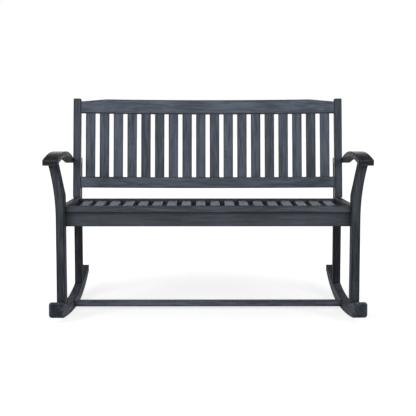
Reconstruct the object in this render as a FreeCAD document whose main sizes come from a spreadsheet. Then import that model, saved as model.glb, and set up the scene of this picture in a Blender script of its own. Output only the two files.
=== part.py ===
import FreeCAD, Part
import math
import os

import Sketcher

# Rocking bench in painted hardwood, in millimetres.
# The front faces -Y, +Z is up, and the origin lies on the floor under the middle of the bench.
# Left and right are those of someone who looks at the bench from the front.

DIMENSIONS = {
    # End frames: the width between them, their legs and the rockers that they stand on.
    "clear_width": 1135.0,
    "post_width": 33.5,
    "leg_setback": 64.0,
    "front_leg_depth": 60.0,
    "rear_leg_depth": 38.0,
    "leg_flare_drop": 44.0,
    "leg_flare_radius": 860.0,
    "leg_knee_rise": 44.0,
    "leg_knee_angle": 11.5,
    "rocker_length": 825.0,
    "rocker_width": 34.0,
    "rocker_rest_y": -8.8,
    "rocker_front_radius": 2950.0,
    "rocker_rear_radius": 1080.0,
    "rocker_waist_y": -85.0,
    "rocker_waist_z": 40.5,
    "rocker_top_front_radius": 1060.0,
    "rocker_top_rear_radius": 1350.0,
    "rocker_toe_width": 57.0,
    "rocker_toe_length": 26.0,
    "rocker_toe_round": 11.8,
    # Seat: frame, support and slats.
    "seat_height": 456.0,
    "seat_depth": 464.0,
    "nosing_setback": 24.0,
    "nosing_depth": 60.0,
    "nosing_thickness": 22.0,
    "nosing_round": 3.0,
    "apron_setback": 18.0,
    "apron_thickness": 20.0,
    "apron_height": 58.0,
    "side_rail_thickness": 28.0,
    "side_rail_height": 76.0,
    "rear_rail_drop": 5.0,
    "rear_rail_height": 70.0,
    "rear_rail_thickness": 28.0,
    "rear_rail_gap": 14.0,
    "slat_count": 18.0,
    "slat_width": 40.0,
    "seat_slat_thickness": 18.0,
    "seat_slat_drop": 16.0,
    "seat_slat_lip": 1.0,
    "seat_curve_length": 150.0,
    "seat_slat_rise": 6.0,
    "support_y": -60.0,
    "support_thickness": 30.0,
    "support_height": 40.0,
    # Backrest: posts, rails and slats, in a frame that leans back.
    "back_lean_angle": 8.3,
    "back_height": 445.0,
    "stile_depth": 30.0,
    "stile_chamfer": 3.0,
    "back_bow": 34.0,
    "back_rail_thickness": 25.0,
    "back_rail_recess": 3.0,
    "lower_rail_start": 46.0,
    "lower_rail_height": 48.0,
    "top_rail_start": 381.0,
    "top_rail_end_height": 50.5,
    "top_rail_peak_height": 62.5,
    "top_rail_slope_run": 113.0,
    "back_slat_width": 43.0,
    "back_slat_thickness": 16.0,
    "back_slat_recess": 4.0,
    # Arms.
    "arm_width": 60.0,
    "arm_overhang": 43.0,
    "arm_thickness": 21.5,
    "arm_reach": 44.0,
    "arm_peak_rise": 214.0,
    "arm_peak_distance": 242.5,
    "arm_front_radius": 1130.0,
    "arm_back_radius": 1250.0,
    "arm_tail_radius": 206.0,
    "arm_slope_angle": 13.5,
    "arm_tail_overhang": 5.0,
    "arm_tail_width": 28.0,
    "arm_inner_radius": 9700.0,
    "arm_housing": 4.0,
    "arm_corner_round": 10.0,
    "arm_ease": 3.0,
    # Stretcher between the rockers.
    "stretcher_depth": 30.0,
    "stretcher_height": 25.0,
    "stretcher_bottom": 12.5,
    "stretcher_y": -92.5,
    # Joinery and fasteners.
    "edge_ease": 2.5,
    "slat_ease": 2.0,
    "rail_ease": 1.5,
    "fit_clearance": 0.2,
    "tenon_length": 14.0,
    "tenon_thickness": 12.0,
    "tenon_shoulder": 8.0,
    "nosing_tenon_length": 7.0,
    "slat_tenon_length": 10.0,
    "slat_tongue_thickness": 9.0,
    "arm_tenon_rise": 5.0,
    "rail_tenon_height": 24.0,
    "bolt_diameter": 6.0,
    "bolt_bite": 24.0,
    "bolt_head_diameter": 15.0,
    "bolt_head_height": 2.5,
    "post_bolt_low": 40.0,
    "post_bolt_high": 115.0,
}

document = FreeCAD.newDocument("RockingBench")
sheet = document.addObject("Spreadsheet::Sheet", "Sizes")
X_AXIS = FreeCAD.Vector(1, 0, 0)
Y_AXIS = FreeCAD.Vector(0, 1, 0)
Z_AXIS = FreeCAD.Vector(0, 0, 1)
SIDE_VIEW = FreeCAD.Rotation(FreeCAD.Vector(1, 1, 1), 120)
FRONT_VIEW = FreeCAD.Rotation(X_AXIS, 90)
PLAN_VIEW = FreeCAD.Rotation()
NEARLY_ONE = 0.999
A_LITTLE = 0.05
TINY = 0.001
sub_parts = []


# A size carries its number and the sheet expression behind it.
class Size:
    def __init__(self, rule, value):
        self.rule = rule
        self.value = value

    def __add__(self, other):
        return combined(self, "+", other, self.value + number(other))

    def __radd__(self, other):
        return combined(other, "+", self, number(other) + self.value)

    def __sub__(self, other):
        return combined(self, "-", other, self.value - number(other))

    def __rsub__(self, other):
        return combined(other, "-", self, number(other) - self.value)

    def __mul__(self, other):
        return combined(self, "*", other, self.value * number(other))

    def __rmul__(self, other):
        return combined(other, "*", self, number(other) * self.value)

    def __truediv__(self, other):
        return combined(self, "/", other, self.value / number(other))

    def __neg__(self):
        return combined(0, "-", self, -self.value)


def number(size):
    return size.value if isinstance(size, Size) else float(size)


def rule_text(size):
    return size.rule if isinstance(size, Size) else repr(float(size))


def combined(left, sign, right, value):
    return Size(f"({rule_text(left)} {sign} {rule_text(right)})", value)


def root(size):
    return Size(f"sqrt({rule_text(size)})", math.sqrt(number(size)))


def sine(degrees):
    return Size(f"sin({rule_text(degrees)})", math.sin(math.radians(number(degrees))))


def cosine(degrees):
    return Size(f"cos({rule_text(degrees)})", math.cos(math.radians(number(degrees))))


def tangent(degrees):
    return sine(degrees) / cosine(degrees)


def arc_drop(radius, run):
    """How far an arc falls from its highest point over a level run."""
    return radius - root(radius * radius - run * run)


def arc_radius(half_chord, rise):
    """Radius of the arc that rises this far over its half chord."""
    return (half_chord * half_chord + rise * rise) / (2 * rise)


class Dimensions:
    pass


d = Dimensions()
for row, (alias, millimetres) in enumerate(DIMENSIONS.items(), 1):
    sheet.set(f"A{row}", alias)
    sheet.set(f"B{row}", str(millimetres))
    sheet.setAlias(f"B{row}", alias)
    setattr(d, alias, Size(f"Sizes.{alias}", millimetres))
document.recompute()
slat_total = int(d.slat_count.value)
nothing = 0 * d.fit_clearance


# Outlines: closed sketches whose corners follow the sheet.
def bind(thing, prop, size):
    thing.setExpression(prop, rule_text(size))


def outline(sketch, corners, arcs=None):
    """Closed outline: arcs gives the radius of an edge and the side to which it bulges."""
    arcs = arcs or {}
    spots = [FreeCAD.Vector(number(x), number(y), 0) for x, y in corners]
    starts = []
    for index, spot in enumerate(spots):
        following = spots[(index + 1) % len(spots)]
        if index not in arcs:
            sketch.addGeometry(Part.LineSegment(spot, following), False)
            starts.append(1)
            continue
        radius, side = arcs[index]
        chord = following - spot
        across = FreeCAD.Vector(-chord.y, chord.x, 0).normalize() * side
        rise = number(radius) - math.sqrt(number(radius) ** 2 - (chord.Length / 2) ** 2)
        middle = (spot + following) / 2 + across * rise
        sketch.addGeometry(Part.Arc(spot, middle, following), False)
        starts.append(1 if side < 0 else 2)
    for index in range(len(spots)):
        after = (index + 1) % len(spots)
        end = 3 - starts[index]
        sketch.addConstraint(Sketcher.Constraint("Coincident", index, end, after, starts[after]))
    for index, (x, y) in enumerate(corners):
        place_point(sketch, index, starts[index], x, y)
        if index in arcs:
            radius = arcs[index][0]
            rule = sketch.addConstraint(Sketcher.Constraint("Radius", index, number(radius)))
            bind(sketch, f"Constraints[{rule}]", radius)
    return sketch


def place_point(sketch, geometry, point, x, y):
    for direction, size in (("DistanceX", x), ("DistanceY", y)):
        rule = sketch.addConstraint(Sketcher.Constraint(direction, geometry, point, number(size)))
        if isinstance(size, Size):
            bind(sketch, f"Constraints[{rule}]", size)


def rectangle(x_low, x_high, y_low, y_high):
    return [(x_low, y_low), (x_high, y_low), (x_high, y_high), (x_low, y_high)]


def circles(sketch, centres, diameter):
    for index, (x, y) in enumerate(centres):
        centre = FreeCAD.Vector(number(x), number(y), 0)
        sketch.addGeometry(Part.Circle(centre, Z_AXIS, number(diameter) / 2), False)
        place_point(sketch, index, 3, x, y)
        rule = sketch.addConstraint(Sketcher.Constraint("Diameter", index, number(diameter)))
        bind(sketch, f"Constraints[{rule}]", diameter)
    return sketch


# Bodies: pieces that are made from sketches on their own planes.
def new_body(label):
    body = document.addObject("PartDesign::Body", label)
    body.Label = label
    sub_parts.append(body)
    return body


def body_sketch(body, role, name, offset=None, turn=None, shift=None):
    """Sketch on one of the body's planes, moved along its normal, shifted and turned."""
    sketch = body.newObject("Sketcher::SketchObject", f"{body.Name}_{name}")
    plane = next(feature for feature in body.Origin.OriginFeatures if feature.Role == role)
    sketch.AttachmentSupport = (plane, [""])
    sketch.MapMode = "FlatFace"
    if offset is not None:
        bind(sketch, "AttachmentOffset.Base.z", offset)
    if shift is not None:
        bind(sketch, "AttachmentOffset.Base.y", shift)
    if turn is not None:
        bind(sketch, "AttachmentOffset.Rotation.Angle", turn)
    return sketch


def pad(body, sketch, length, name="pad", reverse=False):
    feature = body.newObject("PartDesign::Pad", f"{body.Name}_{name}")
    feature.Profile = sketch
    feature.Reversed = reverse
    bind(feature, "Length", length)
    return feature


def pocket(body, sketch, length, name, reverse=False):
    """Cut to a depth, and make sure that the cut takes wood away."""
    document.recompute()
    before = body.Shape.Volume
    feature = body.newObject("PartDesign::Pocket", f"{body.Name}_{name}")
    feature.Profile = sketch
    feature.Reversed = reverse
    bind(feature, "Length", length)
    document.recompute()
    if not body.Shape.Volume < before:
        raise ValueError(f"{body.Label}: the cut {name} takes nothing away")
    return feature


def pattern(body, feature, kind, axis, span_name, span):
    """Repeat a cut once for every slat."""
    row = body.newObject(kind, f"{feature.Name}_row")
    row.Originals = [feature]
    if kind == "PartDesign::PolarPattern":
        row.Axis = axis
    else:
        row.Direction = axis
    bind(row, span_name, span)
    row.Occurrences = slat_total
    body.Tip = row
    return row


def picked_edges(shape, test):
    return [index for index, edge in enumerate(shape.Edges, 1) if test(edge)]


def dress(body, kind, name, prop, size, test):
    """Round or chamfer the edges that pass a test."""
    document.recompute()
    tip = body.Tip
    feature = body.newObject(kind, f"{body.Name}_{name}")
    feature.Base = (tip, [f"Edge{index}" for index in picked_edges(tip.Shape, test)])
    bind(feature, prop, size)
    return feature


def edge_span(edge):
    return edge.Vertexes[-1].Point - edge.Vertexes[0].Point


def longer_than(axis, length):
    """Test for edges that reach further than a length along an axis."""
    def test(edge):
        return abs(edge_span(edge).dot(axis)) > number(length)
    return test


def lies_at(letter, place):
    """Test for edges whose ends both lie at one level."""
    def test(edge):
        return all(abs(getattr(vertex, letter) - number(place)) < NEARLY_ONE for vertex in edge.Vertexes)
    return test


def stand_leaning(piece):
    """Stand a piece of the backrest at the seat and lean it back."""
    piece.Placement = FreeCAD.Placement(FreeCAD.Vector(), FreeCAD.Rotation(X_AXIS, 1))
    bind(piece, "Placement.Base.y", stile_front_y)
    bind(piece, "Placement.Base.z", d.seat_height)
    bind(piece, "Placement.Rotation.Angle", -d.back_lean_angle)


# Boards: pieces sawn from outlines, with blocks joined on and cut out.
def board(name, view, axis, start, length, corners, arcs=None):
    sketch = document.addObject("Sketcher::SketchObject", f"{name}_outline")
    sketch.Placement = FreeCAD.Placement(FreeCAD.Vector(), view)
    place = "x" if axis.x else "y" if axis.y else "z"
    bind(sketch, f"Placement.Base.{place}", start + nothing)
    outline(sketch, corners, arcs)
    solid = document.addObject("Part::Extrusion", f"{name}_blank")
    solid.Base = sketch
    solid.DirMode = "Custom"
    solid.Dir = axis
    solid.Solid = True
    bind(solid, "LengthFwd", length)
    return solid


def block(name, low, high, spare=nothing):
    """Box from its low to its high corner, grown by a spare amount on every side."""
    box = document.addObject("Part::Box", name)
    for letter, side, start, stop in zip("xyz", ("Length", "Width", "Height"), low, high):
        bind(box, f"Placement.Base.{letter}", start - spare)
        bind(box, side, stop - start + 2 * spare)
    return box


def rod(name, start, axis, diameter, length):
    pin = document.addObject("Part::Cylinder", name)
    pin.Placement = FreeCAD.Placement(FreeCAD.Vector(), FreeCAD.Rotation(Z_AXIS, axis))
    for letter, size in zip("xyz", start):
        bind(pin, f"Placement.Base.{letter}", size + nothing)
    bind(pin, "Radius", diameter / 2)
    bind(pin, "Height", length)
    return pin


def sawn(name, first, second):
    piece = document.addObject("Part::MultiCommon", f"{name}_sawn")
    piece.Shapes = [first, second]
    return piece


def rounded(name, piece, radius, test):
    document.recompute()
    feature = document.addObject("Part::Fillet", f"{name}_rounded")
    feature.Base = piece
    size = number(radius)
    feature.Edges = [(index, size, size) for index in picked_edges(piece.Shape, test)]
    return feature


def eased(name, piece, size, test):
    """Plane a narrow flat along the edges that pass a test."""
    document.recompute()
    feature = document.addObject("Part::Chamfer", f"{name}_eased")
    feature.Base = piece
    width = number(size)
    feature.Edges = [(index, width, width) for index in picked_edges(piece.Shape, test)]
    return feature


def jointed(label, piece, tenons, cuts):
    """Join tenons to a board, cut its mortises and bores, and hand it over as a sub-part."""
    if tenons:
        whole = document.addObject("Part::MultiFuse", f"{label}_tenoned")
        whole.Shapes = [piece] + tenons
        piece = whole
    for index, tool in enumerate(cuts):
        document.recompute()
        before = piece.Shape.Volume
        cut = document.addObject("Part::Cut", f"{label}_cut_{index}")
        cut.Base = piece
        cut.Tool = tool
        document.recompute()
        if not cut.Shape.Volume < before:
            raise ValueError(f"{label}: the cut {tool.Name} takes nothing away")
        piece = cut
    piece.Label = label
    sub_parts.append(piece)
    return piece


def reach(side, near, far):
    """Low and high X of something that lies between two distances from the middle."""
    return (near, far) if side > 0 else (-far, -near)


# Places that several pieces share.
half_clear = d.clear_width / 2
leg_outer_x = half_clear + d.post_width
rocker_inner_x = leg_outer_x - d.rocker_width
slat_gap = (d.clear_width - d.slat_count * d.slat_width) / (d.slat_count + 1)
slat_pitch = d.slat_width + slat_gap
slat_row = slat_pitch * (d.slat_count - 1)
front_tip_y = -d.rocker_length / 2
rear_tip_y = d.rocker_length / 2
leg_front_y = front_tip_y + d.leg_setback
leg_back_y = leg_front_y + d.front_leg_depth
nosing_front_y = leg_front_y + d.nosing_setback
nosing_back_y = nosing_front_y + d.nosing_depth
nosing_bottom_z = d.seat_height - d.nosing_thickness
apron_front_y = nosing_front_y + d.apron_setback
apron_back_y = apron_front_y + d.apron_thickness
apron_bottom_z = nosing_bottom_z - d.apron_height
side_rail_bottom_z = d.seat_height - d.side_rail_height
stile_front_y = nosing_front_y + d.seat_depth
rear_leg_front_y = stile_front_y + d.stile_depth / cosine(d.back_lean_angle)
rear_leg_back_y = rear_leg_front_y + d.rear_leg_depth
rear_rail_front_y = stile_front_y - d.rear_rail_gap
rear_rail_back_y = rear_rail_front_y + d.rear_rail_thickness
rear_rail_top_z = d.seat_height - d.rear_rail_drop
rear_rail_bottom_z = rear_rail_top_z - d.rear_rail_height
support_front_y = d.support_y - d.support_thickness / 2
support_back_y = d.support_y + d.support_thickness / 2
flare_start_z = d.seat_height - d.leg_flare_drop
knee_z = d.seat_height + d.leg_knee_rise
arm_peak_z = d.seat_height + d.arm_peak_rise
slat_low_z = d.seat_height - d.seat_slat_lip - d.seat_slat_drop
slat_under_z = slat_low_z - d.seat_slat_thickness
slat_bend_y = nosing_back_y + d.seat_curve_length
slat_slope = d.seat_slat_rise / (rear_rail_front_y - slat_bend_y)
support_front_top_z = slat_under_z + (support_front_y - slat_bend_y) * slat_slope
support_back_top_z = slat_under_z + (support_back_y - slat_bend_y) * slat_slope
stretcher_z = d.stretcher_bottom + d.stretcher_height / 2


# Rocker: two floor arcs that meet level at the rest point, under the bench's balance point.
def rocker_floor_z(y, radius):
    return arc_drop(radius, y - d.rocker_rest_y)


def rocker_top_z(y):
    """Top of the rocker, in front of the waist and behind it as far as the rear leg."""
    radius = d.rocker_top_front_radius if number(y) < number(d.rocker_waist_y) else d.rocker_top_rear_radius
    return d.rocker_waist_z + arc_drop(radius, y - d.rocker_waist_y)


tail_run = rear_leg_front_y - d.rocker_waist_y
tail_slope = tail_run / root(d.rocker_top_rear_radius * d.rocker_top_rear_radius - tail_run * tail_run)


def rocker_tail_z(y):
    """Straight top of the rocker from the rear leg to the rear tip."""
    return rocker_top_z(rear_leg_front_y) + (y - rear_leg_front_y) * tail_slope


def make_rocker(side_name, side):
    label = f"{side_name}_rocker"
    profile = [
        (front_tip_y, rocker_floor_z(front_tip_y, d.rocker_front_radius)),
        (d.rocker_rest_y, nothing),
        (rear_tip_y, rocker_floor_z(rear_tip_y, d.rocker_rear_radius)),
        (rear_tip_y, rocker_tail_z(rear_tip_y)),
        (rear_leg_front_y, rocker_top_z(rear_leg_front_y)),
        (d.rocker_waist_y, d.rocker_waist_z),
        (front_tip_y, rocker_top_z(front_tip_y)),
    ]
    arcs = {
        0: (d.rocker_front_radius, -1),
        1: (d.rocker_rear_radius, -1),
        4: (d.rocker_top_rear_radius, 1),
        5: (d.rocker_top_front_radius, 1),
    }
    toe_outer_x = rocker_inner_x + d.rocker_toe_width
    toe_end_y = front_tip_y + d.rocker_toe_length
    low_x, high_x = reach(side, rocker_inner_x, toe_outer_x)
    side_cut = board(f"{label}_side", SIDE_VIEW, X_AXIS, low_x, high_x - low_x, profile, arcs)
    plan = [
        (side * rocker_inner_x, front_tip_y),
        (side * toe_outer_x, front_tip_y),
        (side * toe_outer_x, toe_end_y),
        (side * leg_outer_x, leg_front_y),
        (side * leg_outer_x, rear_tip_y),
        (side * rocker_inner_x, rear_tip_y),
    ]
    sweep = arc_radius(leg_front_y - toe_end_y, toe_outer_x - leg_outer_x)
    height = 2 * rocker_tail_z(rear_tip_y)
    plan_cut = board(f"{label}_plan", PLAN_VIEW, Z_AXIS, nothing, height, plan, {2: (sweep, side)})
    piece = sawn(label, side_cut, plan_cut)
    toe_side = lies_at("X", side * toe_outer_x)
    toe_front = lies_at("Y", front_tip_y)

    def toe_edge(edge):
        """Edges around the toe's front face and along the top and the bottom of its outer face."""
        along = toe_side(edge) and abs(edge_span(edge).y) > NEARLY_ONE
        return toe_front(edge) or along

    piece = rounded(f"{label}_toe", piece, d.rocker_toe_round, toe_edge)
    start = (side * (rocker_inner_x - d.rocker_width), d.stretcher_y, stretcher_z)
    bore = rod(f"{label}_bore", start, X_AXIS * side, d.bolt_diameter + d.fit_clearance, 3 * d.rocker_width)
    front_mortise = block(f"{label}_front_mortise", *front_foot_tenon(side), d.fit_clearance)
    rear_mortise = block(f"{label}_rear_mortise", *rear_foot_tenon(side), d.fit_clearance)
    jointed(label, piece, [], [front_mortise, rear_mortise, bore])


def front_foot_tenon(side):
    low_x, high_x = reach(side, half_clear + d.tenon_shoulder, leg_outer_x - d.tenon_shoulder)
    low_z = rocker_top_z(leg_back_y) - d.tenon_length
    high_z = rocker_top_z(leg_front_y) + d.tenon_length
    return (low_x, leg_front_y + d.tenon_shoulder, low_z), (high_x, leg_back_y - d.tenon_shoulder, high_z)


def rear_foot_tenon(side):
    low_x, high_x = reach(side, half_clear + d.tenon_shoulder, leg_outer_x - d.tenon_shoulder)
    low_z = rocker_tail_z(rear_leg_front_y) - d.tenon_length
    high_z = rocker_tail_z(rear_leg_back_y) + d.tenon_length
    return ((low_x, rear_leg_front_y + d.tenon_shoulder, low_z),
            (high_x, rear_leg_back_y - d.tenon_shoulder, high_z))


# Arm: level over the rear leg, humped over the front leg and rolled down in front.
arm_front_y = leg_front_y - d.arm_reach
arm_peak_y = arm_front_y + d.arm_peak_distance
arm_turn_y = arm_peak_y + d.arm_back_radius * sine(d.arm_slope_angle)
arm_level_y = arm_turn_y + d.arm_tail_radius * sine(d.arm_slope_angle)
arm_turn_drop = d.arm_back_radius - d.arm_back_radius * cosine(d.arm_slope_angle)
arm_level_drop = arm_turn_drop + d.arm_tail_radius - d.arm_tail_radius * cosine(d.arm_slope_angle)
arm_tail_z = arm_peak_z - arm_level_drop
rear_leg_top_z = arm_tail_z - d.arm_thickness
rear_top_rise = rear_leg_top_z - d.seat_height
rear_top_front_y = rear_leg_front_y + rear_top_rise * tangent(d.back_lean_angle)
rear_top_back_y = rear_top_front_y + d.rear_leg_depth / cosine(d.back_lean_angle)
arm_rear_y = rear_top_back_y + d.arm_tail_overhang


def arm_top_z(y):
    """Top of the arm's front stretch."""
    return arm_peak_z - arc_drop(d.arm_front_radius, arm_peak_y - y)


def make_arm(side_name, side):
    label = f"{side_name}_arm"
    thick = d.arm_thickness
    turn_z = arm_peak_z - arm_turn_drop
    profile = [
        (arm_front_y, arm_top_z(arm_front_y)),
        (arm_front_y, arm_top_z(arm_front_y) - thick),
        (arm_peak_y, arm_peak_z - thick),
        (arm_turn_y, turn_z - thick),
        (arm_level_y, rear_leg_top_z),
        (arm_rear_y, rear_leg_top_z),
        (arm_rear_y, arm_tail_z),
        (arm_level_y, arm_tail_z),
        (arm_turn_y, turn_z),
        (arm_peak_y, arm_peak_z),
    ]
    arcs = {
        1: (d.arm_front_radius, 1),
        2: (d.arm_back_radius, 1),
        3: (d.arm_tail_radius, -1),
        7: (d.arm_tail_radius, 1),
        8: (d.arm_back_radius, -1),
        9: (d.arm_front_radius, -1),
    }
    outer_x = leg_outer_x + d.arm_overhang
    low_x, high_x = reach(side, half_clear, outer_x)
    side_cut = board(f"{label}_side", SIDE_VIEW, X_AXIS, low_x, high_x - low_x, profile, arcs)
    post_back_y = stile_front_y + d.stile_depth / cosine(d.back_lean_angle)
    corner = d.arm_corner_round
    inner_x = outer_x - d.arm_width
    housing_x = leg_outer_x - d.arm_housing
    plan = [
        (side * inner_x, arm_front_y + corner),
        (side * (inner_x + corner), arm_front_y),
        (side * (outer_x - corner), arm_front_y),
        (side * outer_x, arm_front_y + corner),
        (side * outer_x, arm_peak_y),
        (side * (leg_outer_x + d.arm_tail_width), arm_rear_y),
        (side * half_clear, arm_rear_y),
        (side * half_clear, post_back_y),
        (side * housing_x, post_back_y),
        (side * housing_x, stile_front_y),
    ]
    plan_arcs = {
        0: (corner, -side),
        2: (corner, -side),
        4: (arc_radius(arm_rear_y - arm_peak_y, d.arm_overhang - d.arm_tail_width), -side),
        9: (d.arm_inner_radius, -side),
    }
    plan_cut = board(f"{label}_plan", PLAN_VIEW, Z_AXIS, nothing, 2 * arm_peak_z, plan, plan_arcs)
    piece = sawn(label, side_cut, plan_cut)
    document.recompute()
    blank = piece.Shape
    shoulder_y = number(stile_front_y)
    post_x = number(leg_outer_x)
    half_thick = number(thick) / 2
    heart = FreeCAD.Vector(number(side * (inner_x + outer_x) / 2), number(arm_peak_y), 0)

    def rim(edge):
        """Edges around the arm's top, without the lines where one arc meets the next."""
        middle = edge.valueAt((edge.FirstParameter + edge.LastParameter) / 2)
        way = edge_span(edge).normalize()
        crosswise = abs(way.x) > NEARLY_ONE and not lies_at("Y", arm_front_y)(edge)
        exposed = middle.y < shoulder_y or abs(middle.x) > post_x
        inwards = (heart - middle) * A_LITTLE
        below = middle + FreeCAD.Vector(inwards.x, inwards.y, -half_thick)
        upright = abs(way.z) > NEARLY_ONE
        return exposed and not crosswise and not upright and blank.isInside(below, TINY, False)

    piece = eased(f"{label}_edges", piece, d.arm_ease, rim)
    post_slot = document.addObject("Part::Compound", f"{label}_post_slot")
    low_x, high_x = reach(side, half_clear - d.post_width, leg_outer_x)
    reach_up = 2 * arm_peak_z
    post_slot.Links = [block(f"{label}_post_slot_block", (low_x, nothing - d.stile_depth, nothing),
                             (high_x, d.stile_depth, reach_up), nothing)]
    stand_leaning(post_slot)
    front_mortise = block(f"{label}_front_mortise", *front_top_tenon(side), d.fit_clearance)
    rear_mortise = block(f"{label}_rear_mortise", *rear_top_tenon(side), d.fit_clearance)
    jointed(label, piece, [], [post_slot, front_mortise, rear_mortise])


def front_top_tenon(side):
    low_z = arm_top_z(leg_front_y) - 2 * d.arm_thickness
    high_z = arm_top_z(leg_back_y) - d.arm_thickness + d.arm_tenon_rise
    inner = half_clear + (low_z + d.tenon_length - knee_z) * tangent(d.leg_knee_angle)
    low_x, high_x = reach(side, inner + d.tenon_shoulder, inner + d.post_width - d.tenon_shoulder / 2)
    return (low_x, leg_front_y + d.tenon_shoulder, low_z), (high_x, leg_back_y - d.tenon_shoulder, high_z)


def rear_top_tenon(side):
    low_x, high_x = reach(side, half_clear + d.tenon_shoulder, leg_outer_x - d.tenon_shoulder)
    low_z = rear_leg_top_z - d.tenon_length
    high_z = rear_leg_top_z + d.slat_tenon_length
    return ((low_x, rear_top_front_y + d.tenon_shoulder, low_z),
            (high_x, rear_top_back_y - d.tenon_shoulder, high_z))


# Front leg: upright to the seat, then flared outwards, cut to the rocker and to the arm.
def make_front_leg(side_name, side):
    label = f"{side_name}_front_leg"
    top_z = arm_peak_z
    flare_x = leg_outer_x + arc_drop(d.leg_flare_radius, top_z - flare_start_z)
    top_inner_x = half_clear + (top_z - knee_z) * tangent(d.leg_knee_angle)
    front = [
        (side * half_clear, nothing),
        (side * leg_outer_x, nothing),
        (side * leg_outer_x, flare_start_z),
        (side * flare_x, top_z),
        (side * top_inner_x, top_z),
        (side * half_clear, knee_z),
    ]
    front_arcs = {2: (d.leg_flare_radius, side)}
    front_cut = board(f"{label}_front", FRONT_VIEW, Y_AXIS, leg_front_y, d.front_leg_depth, front, front_arcs)
    profile = [
        (leg_front_y, rocker_top_z(leg_front_y)),
        (leg_back_y, rocker_top_z(leg_back_y)),
        (leg_back_y, arm_top_z(leg_back_y) - d.arm_thickness),
        (leg_front_y, arm_top_z(leg_front_y) - d.arm_thickness),
    ]
    profile_arcs = {0: (d.rocker_top_front_radius, -1), 2: (d.arm_front_radius, 1)}
    low_x, high_x = reach(side, half_clear, flare_x)
    side_cut = board(f"{label}_side", SIDE_VIEW, X_AXIS, low_x, high_x - low_x, profile, profile_arcs)
    piece = sawn(label, front_cut, side_cut)
    piece = eased(label, piece, d.edge_ease, longer_than(Z_AXIS, d.front_leg_depth))
    tenons = [
        block(f"{label}_foot_tenon", *front_foot_tenon(side)),
        block(f"{label}_top_tenon", *front_top_tenon(side)),
    ]
    cuts = [
        block(f"{label}_rail_mortise", *side_rail_tenon(side, leg_back_y - d.tenon_length, leg_back_y),
              d.fit_clearance),
        block(f"{label}_apron_mortise", *apron_tenon(side), d.fit_clearance),
        block(f"{label}_nosing_mortise", *nosing_tenon(side), d.fit_clearance),
    ]
    jointed(label, piece, tenons, cuts)


def side_rail_tenon(side, low_y, high_y):
    inner = half_clear + (d.side_rail_thickness - d.tenon_thickness) / 2
    low_x, high_x = reach(side, inner, inner + d.tenon_thickness)
    high_z = nosing_bottom_z - d.fit_clearance
    return (low_x, low_y, high_z - d.rail_tenon_height), (high_x, high_y, high_z)


def apron_tenon(side):
    low_x, high_x = reach(side, half_clear, half_clear + d.tenon_length)
    inset = (d.apron_thickness - d.tenon_thickness) / 2
    low_z = apron_bottom_z + d.tenon_shoulder
    high_z = nosing_bottom_z - d.rail_tenon_height - d.tenon_shoulder
    return (low_x, apron_front_y + inset, low_z), (high_x, apron_back_y - inset, high_z)


def nosing_tenon(side):
    low_x, high_x = reach(side, half_clear, half_clear + d.nosing_tenon_length)
    inset = (d.nosing_thickness - d.tenon_thickness) / 2
    low_y = nosing_front_y + d.tenon_shoulder
    high_y = leg_back_y - d.tenon_shoulder
    return (low_x, low_y, nosing_bottom_z + inset), (high_x, high_y, d.seat_height - inset)


# Rear leg: upright below the seat, then leaning with the backrest, under the arm's tail.
def make_rear_leg(side_name, side):
    label = f"{side_name}_rear_leg"
    knee_drop = d.rear_leg_depth * tangent(d.back_lean_angle / 2)
    profile = [
        (rear_leg_front_y, rocker_tail_z(rear_leg_front_y)),
        (rear_leg_back_y, rocker_tail_z(rear_leg_back_y)),
        (rear_leg_back_y, d.seat_height - knee_drop),
        (rear_top_back_y, rear_leg_top_z),
        (rear_top_front_y, rear_leg_top_z),
        (rear_leg_front_y, d.seat_height),
    ]
    low_x, high_x = reach(side, half_clear, leg_outer_x)
    piece = board(label, SIDE_VIEW, X_AXIS, low_x, d.post_width, profile)
    piece = eased(label, piece, d.edge_ease, longer_than(Z_AXIS, d.rear_leg_depth))
    tenons = [
        block(f"{label}_foot_tenon", *rear_foot_tenon(side)),
        block(f"{label}_top_tenon", *rear_top_tenon(side)),
    ]
    low, high = side_rail_tenon(side, rear_leg_front_y, rear_leg_front_y + d.tenon_length)
    bores = document.addObject("Part::Compound", f"{label}_bolt_bores")
    bores.Links = [post_bolt_rod(f"{label}_bore_{name}", side, level, d.fit_clearance)
                   for name, level in (("low", d.post_bolt_low), ("high", d.post_bolt_high))]
    stand_leaning(bores)
    jointed(label, piece, tenons, [block(f"{label}_rail_mortise", low, high, d.fit_clearance), bores])


def post_bolt_rod(name, side, level, spare):
    """Shank of a bolt that passes through the rear leg into the back post, in the leaning frame."""
    start = (side * (half_clear + d.post_width / 2), d.stile_depth + d.rear_leg_depth, level)
    return rod(name, start, -Y_AXIS, d.bolt_diameter + spare, d.rear_leg_depth + d.bolt_bite - spare)


# Seat frame: side rails, front rail on its apron, rear rail, middle support and stretcher.
def make_side_rail(side_name, side):
    label = f"{side_name}_seat_side_rail"
    low_x, high_x = reach(side, half_clear, half_clear + d.side_rail_thickness)
    section = rectangle(low_x, high_x, side_rail_bottom_z, d.seat_height)
    piece = board(label, FRONT_VIEW, Y_AXIS, leg_back_y, rear_leg_front_y - leg_back_y, section)
    piece = eased(label, piece, d.slat_ease, lies_at("Z", d.seat_height))
    tenons = [
        block(f"{label}_front_tenon", *side_rail_tenon(side, leg_back_y - d.tenon_length, leg_back_y + d.tenon_length)),
        block(f"{label}_rear_tenon", *side_rail_tenon(side, rear_leg_front_y - d.tenon_length,
                                                      rear_leg_front_y + d.tenon_length)),
    ]
    cuts = [
        block(f"{label}_rear_rail_mortise", *rear_rail_tenon(side), d.fit_clearance),
        block(f"{label}_support_mortise", *support_tenon(side), d.fit_clearance),
    ]
    jointed(label, piece, tenons, cuts)


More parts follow.
